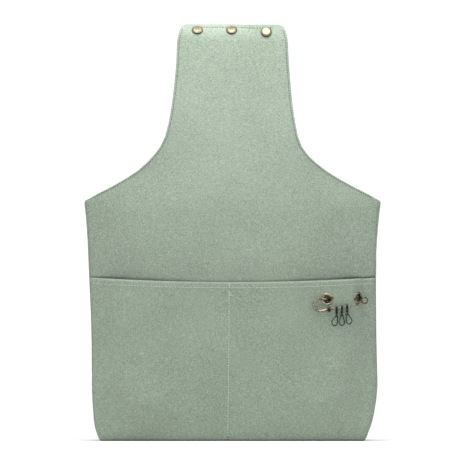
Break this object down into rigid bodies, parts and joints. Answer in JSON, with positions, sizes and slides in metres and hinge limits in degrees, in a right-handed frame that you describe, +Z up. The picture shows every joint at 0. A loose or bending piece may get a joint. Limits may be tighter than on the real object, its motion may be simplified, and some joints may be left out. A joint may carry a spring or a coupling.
{
  "type": "tool bag",
  "caption": "Standing canvas tool bag with an apron-shaped front and back that snap together as a handle, divided front pocket and clip-on markers on a spring pin.",
  "frame": {"origin": "centre of the flat base, on the surface the bag stands on", "axes": "+X to the bag's right seen from the front, +Y toward the back, +Z up"},
  "size_m": [0.32, 0.1322, 0.4502],
  "materials": {
    "canvas": "woven cotton canvas, faint sheen",
    "antique_brass": "aged, brushed, dark in the recesses",
    "gunmetal": "dark plated, satin",
    "copper_bead": "pinkish copper, satin"
  },
  "bodies": {
    "bag": {"front_panel": "canvas", "back_panel": "canvas", "gusset_right": "canvas", "gusset_left": "canvas", "base_panel": "canvas", "front_pocket": "canvas", "front_facing": "canvas", "back_facing": "canvas", "eyelet_left": "antique_brass", "eyelet_left_washer": "antique_brass", "eyelet_right": "antique_brass", "eyelet_right_washer": "antique_brass"},
    "front_handle": {"front_tab": "canvas", "front_tab_facing": "canvas", "snap_left_cap": "antique_brass", "snap_left_socket": "antique_brass", "snap_middle_cap": "antique_brass", "snap_middle_socket": "antique_brass", "snap_right_cap": "antique_brass", "snap_right_socket": "antique_brass"},
    "back_handle": {"back_tab": "canvas", "back_tab_facing": "canvas", "snap_left_stud": "antique_brass", "snap_left_post": "antique_brass", "snap_middle_stud": "antique_brass", "snap_middle_post": "antique_brass", "snap_right_stud": "antique_brass", "snap_right_post": "antique_brass"},
    "pin": {"pin_hook": "antique_brass", "pin_wire": "antique_brass", "pin_clasp": "gunmetal"},
    "pin_front_arm": {"pin_arm": "antique_brass", "pin_bead": "copper_bead"},
    "marker_1": {"marker_1_claw": "gunmetal", "marker_1_rivet": "gunmetal"},
    "marker_1_thumb": {"marker_1_lever": "gunmetal"},
    "marker_1_ring": {"marker_1_loop": "gunmetal"},
    "marker_2": {"marker_2_claw": "gunmetal", "marker_2_rivet": "gunmetal"},
    "marker_2_thumb": {"marker_2_lever": "gunmetal"},
    "marker_2_ring": {"marker_2_loop": "gunmetal"},
    "marker_3": {"marker_3_claw": "gunmetal", "marker_3_rivet": "gunmetal"},
    "marker_3_thumb": {"marker_3_lever": "gunmetal"},
    "marker_3_ring": {"marker_3_loop": "gunmetal"}
  },
  "joints": [
    {"name": "front_handle_fold", "type": "hinge", "parent": "bag", "child": "front_handle", "pos_m": [0, -0.03352, 0.318], "axis": [1, 0, 0], "range_deg": [0, 150]},
    {"name": "back_handle_fold", "type": "hinge", "parent": "bag", "child": "back_handle", "pos_m": [0, 0.03352, 0.318], "axis": [-1, 0, 0], "range_deg": [0, 150]},
    {"name": "pin_swing", "type": "hinge", "parent": "bag", "child": "pin", "pos_m": [0.11845, -0.06477, 0.15365], "axis": [-0.9856, -0.1646, -0.0392], "range_deg": [0, 30]},
    {"name": "pin_arm_open", "type": "hinge", "parent": "pin", "child": "pin_front_arm", "pos_m": [0.1425, -0.0723, 0.1518], "axis": [0, -1, 0], "range_deg": [0, 25]},
    {"name": "marker_1_swing", "type": "hinge", "parent": "pin_front_arm", "child": "marker_1", "pos_m": [0.1122, -0.0723, 0.14362], "axis": [-0.987, 0, -0.1608], "range_deg": [0, 75]},
    {"name": "marker_1_open", "type": "hinge", "parent": "marker_1", "child": "marker_1_thumb", "pos_m": [0.1122, -0.0738, 0.13972], "axis": [-1, 0, 0], "range_deg": [0, 25], "stiffness_Nm_per_rad": 0.00002},
    {"name": "marker_1_ring_swing", "type": "hinge", "parent": "marker_1", "child": "marker_1_ring", "pos_m": [0.1122, -0.0723, 0.13552], "axis": [-1, 0, 0], "range_deg": [0, 60]},
    {"name": "marker_2_swing", "type": "hinge", "parent": "pin_front_arm", "child": "marker_2", "pos_m": [0.1179, -0.0723, 0.14455], "axis": [-0.987, 0, -0.1608], "range_deg": [0, 75]},
    {"name": "marker_2_open", "type": "hinge", "parent": "marker_2", "child": "marker_2_thumb", "pos_m": [0.1179, -0.0738, 0.14065], "axis": [-1, 0, 0], "range_deg": [0, 25], "stiffness_Nm_per_rad": 0.00002},
    {"name": "marker_2_ring_swing", "type": "hinge", "parent": "marker_2", "child": "marker_2_ring", "pos_m": [0.1179, -0.0723, 0.13645], "axis": [-1, 0, 0], "range_deg": [0, 60]},
    {"name": "marker_3_swing", "type": "hinge", "parent": "pin_front_arm", "child": "marker_3", "pos_m": [0.1236, -0.0723, 0.14548], "axis": [-0.987, 0, -0.1608], "range_deg": [0, 75]},
    {"name": "marker_3_open", "type": "hinge", "parent": "marker_3", "child": "marker_3_thumb", "pos_m": [0.1236, -0.0738, 0.14158], "axis": [-1, 0, 0], "range_deg": [0, 25], "stiffness_Nm_per_rad": 0.00002},
    {"name": "marker_3_ring_swing", "type": "hinge", "parent": "marker_3", "child": "marker_3_ring", "pos_m": [0.1236, -0.0723, 0.13738], "axis": [-1, 0, 0], "range_deg": [0, 60]}
  ]
}
